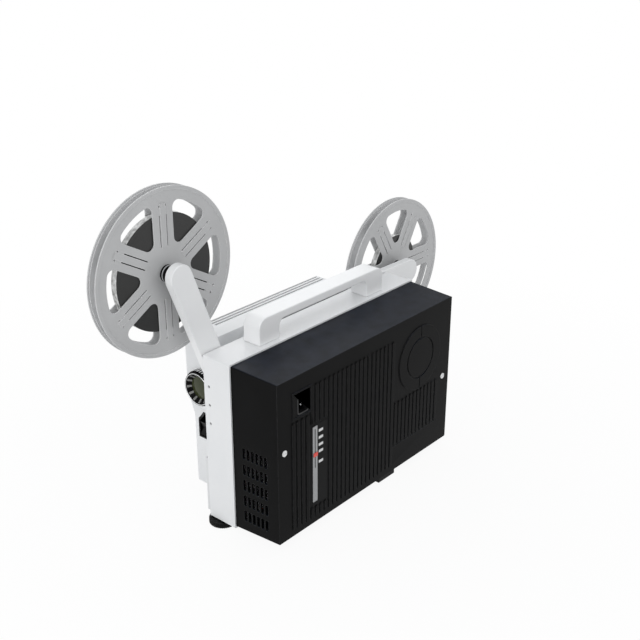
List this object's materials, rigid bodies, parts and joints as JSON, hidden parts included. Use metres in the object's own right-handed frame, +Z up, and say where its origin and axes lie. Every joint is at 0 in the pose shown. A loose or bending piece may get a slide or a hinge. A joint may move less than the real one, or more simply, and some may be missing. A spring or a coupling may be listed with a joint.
{
  "type": "movie projector",
  "caption": "Movie projector for 8 mm film with two open reels on folding arms, carrying handle, focusing lens, ribbed back cover and levelling foot.",
  "frame": {"origin": "middle of the bounding box, at the level of the feet", "axes": "+X from the lens end to the rear, +Y from the dark cover to the film side, +Z up"},
  "size_m": [0.5634, 0.174, 0.3835],
  "materials": {
    "white_plastic": "satin",
    "black_plastic": "satin",
    "grey_plastic": "satin",
    "light_plastic": "satin",
    "red_plastic": "gloss",
    "film": "satin",
    "steel": "brushed",
    "white_screw": "satin",
    "plate_metal": "satin",
    "brass": "satin",
    "iron": "rough",
    "copper": "varnished",
    "rubber": "matte",
    "lens_glass": "coated",
    "lamp_glass": "clear",
    "mirror": "polished",
    "board": "gloss"
  },
  "bodies": {
    "projector": {"main_housing": "white_plastic", "back_cover": "black_plastic", "cover_screws": "white_screw", "mains_inlet": "black_plastic", "inlet_pins": "steel", "selector_plate": "black_plastic", "selector_rail": "light_plastic", "handle": "white_plastic", "handle_screws": "steel", "mechanism_plate": "plate_metal", "case_screws": "steel", "film_side_housing": "white_plastic", "door_hinge_pins": "steel", "switch_bezel": "black_plastic", "lens_holder": "plate_metal", "gate_plate": "steel", "shutter_bearings": "plate_metal", "shaft_bushes": "brass", "drive_belt": "rubber", "sprocket_shoes": "grey_plastic", "roller_axle": "steel", "lamp_reflector": "mirror", "lamp": "lamp_glass", "lamp_holder": "plate_metal", "rubber_feet": "rubber", "motor": "iron", "fan_housing": "grey_plastic", "transformer_core": "iron", "transformer_winding": "copper", "circuit_board": "board", "pivot_bolts": "steel"},
    "front arm": {"front_arm": "white_plastic"},
    "rear arm": {"rear_arm": "white_plastic"},
    "front reel": {"front_spindle": "black_plastic", "front_reel": "grey_plastic", "front_film": "film"},
    "rear reel": {"rear_spindle": "black_plastic", "rear_reel": "grey_plastic", "rear_film": "film"},
    "focus ring": {"focus_ring": "black_plastic"},
    "lens": {"lens_barrel": "black_plastic", "lens_glasses": "lens_glass"},
    "lamp door": {"lamp_door": "white_plastic"},
    "function knob": {"function_knob": "black_plastic"},
    "framing knob": {"framing_knob": "black_plastic"},
    "power switch": {"rocker_switch": "black_plastic"},
    "selector": {"selector_slider": "red_plastic"},
    "motor rotor": {"motor_rotor": "steel", "fan_impeller": "light_plastic"},
    "main shaft": {"main_shaft": "steel", "inching_knob": "black_plastic"},
    "upper sprocket": {"upper_sprocket": "steel"},
    "lower sprocket": {"lower_sprocket": "steel"},
    "idler gear": {"idler_gear": "brass"},
    "shutter": {"shutter": "iron"},
    "claw": {"claw": "steel"},
    "pressure plate": {"pressure_plate": "steel"},
    "guide roller": {"guide_roller": "light_plastic"},
    "levelling stem": {"levelling_stem": "steel"},
    "levelling wheel": {"levelling_wheel": "black_plastic"}
  },
  "joints": [
    {"name": "front_arm_fold", "type": "hinge", "parent": "projector", "child": "front arm", "pos_m": [-0.1507, 0.01625, 0.176], "axis": [0, 1, 0], "range_deg": [0, 38]},
    {"name": "rear_arm_fold", "type": "hinge", "parent": "projector", "child": "rear arm", "pos_m": [0.1298, 0.01625, 0.191], "axis": [0, 1, 0], "range_deg": [0, 50]},
    {"name": "front_reel_spin", "type": "hinge", "parent": "front arm", "child": "front reel", "pos_m": [-0.1927, 0.04525, 0.2945], "axis": [0, 1, 0], "continuous": true},
    {"name": "rear_reel_spin", "type": "hinge", "parent": "rear arm", "child": "rear reel", "pos_m": [0.1927, 0.04525, 0.1897], "axis": [0, 1, 0], "continuous": true},
    {"name": "focus_turn", "type": "hinge", "parent": "projector", "child": "focus ring", "pos_m": [-0.1527, 0.04525, 0.1465], "axis": [1, 0, 0], "range_deg": [0, 180]},
    {"name": "lens_travel", "type": "slide", "parent": "projector", "child": "lens", "axis": [-1, 0, 0], "range_m": [0, 0.003]},
    {"name": "door_swing", "type": "hinge", "parent": "projector", "child": "lamp door", "pos_m": [0.0688, 0.07605, 0.115], "axis": [0, 0, -1], "range_deg": [0, 110]},
    {"name": "function_turn", "type": "hinge", "parent": "projector", "child": "function knob", "pos_m": [-0.1042, 0.07275, 0.052], "axis": [0, 1, 0], "range_deg": [-60, 60]},
    {"name": "framing_turn", "type": "hinge", "parent": "projector", "child": "framing knob", "pos_m": [-0.0862, 0.07275, 0.1585], "axis": [0, 1, 0], "range_deg": [-30, 30]},
    {"name": "switch_rock", "type": "hinge", "parent": "projector", "child": "power switch", "pos_m": [-0.1292, 0.05335, 0.0833], "axis": [0, 1, 0], "range_deg": [-6, 6]},
    {"name": "selector_travel", "type": "slide", "parent": "projector", "child": "selector", "axis": [0, 0, 1], "range_m": [-0.012, 0.026]},
    {"name": "motor_spin", "type": "hinge", "parent": "projector", "child": "motor rotor", "pos_m": [0.0758, 0.00455, 0.142], "axis": [0, 1, 0], "continuous": true},
    {"name": "main_spin", "type": "hinge", "parent": "projector", "child": "main shaft", "pos_m": [-0.0752, 0.04525, 0.1133], "axis": [0, 1, 0], "continuous": true},
    {"name": "upper_sprocket_spin", "type": "hinge", "parent": "projector", "child": "upper sprocket", "pos_m": [-0.1012, 0.04525, 0.1705], "axis": [0, 1, 0], "continuous": true},
    {"name": "lower_sprocket_spin", "type": "hinge", "parent": "projector", "child": "lower sprocket", "pos_m": [-0.1012, 0.04525, 0.093], "axis": [0, 1, 0], "continuous": true},
    {"name": "idler_spin", "type": "hinge", "parent": "projector", "child": "idler gear", "pos_m": [-0.1012, -0.00375, 0.13175], "axis": [0, 1, 0], "continuous": true},
    {"name": "shutter_spin", "type": "hinge", "parent": "projector", "child": "shutter", "pos_m": [-0.0962, 0.04525, 0.1295], "axis": [1, 0, 0], "continuous": true},
    {"name": "claw_stroke", "type": "slide", "parent": "projector", "child": "claw", "axis": [0, 0, 1], "range_m": [-0.0021, 0.0021]},
    {"name": "pressure_lift", "type": "slide", "parent": "projector", "child": "pressure plate", "axis": [-1, 0, 0], "range_m": [0, 0.003], "stiffness_N_per_m": 100, "springref_m": -0.002},
    {"name": "roller_spin", "type": "hinge", "parent": "projector", "child": "guide roller", "pos_m": [0.0418, 0.04525, 0.113], "axis": [0, 1, 0], "continuous": true},
    {"name": "levelling_travel", "type": "slide", "parent": "projector", "child": "levelling stem", "axis": [0, 0, -1], "range_m": [0, 0.006]},
    {"name": "levelling_turn", "type": "hinge", "parent": "levelling stem", "child": "levelling wheel", "pos_m": [-0.1629, 0.00375, 0], "axis": [0, 0, 1], "range_deg": [0, 1440]}
  ],
  "couplings": [
    {"joint": "main_spin", "follows": "motor_spin", "ratio": 0.28},
    {"joint": "lower_sprocket_spin", "follows": "motor_spin", "ratio": -0.090373},
    {"joint": "upper_sprocket_spin", "follows": "motor_spin", "ratio": -0.090373},
    {"joint": "idler_spin", "follows": "motor_spin", "ratio": 0.16275},
    {"joint": "shutter_spin", "follows": "motor_spin", "ratio": 0.36},
    {"joint": "focus_turn", "follows": "lens_travel", "rad_per_m": 1047.2},
    {"joint": "levelling_turn", "follows": "levelling_travel", "rad_per_m": 4188.8}
  ]
}
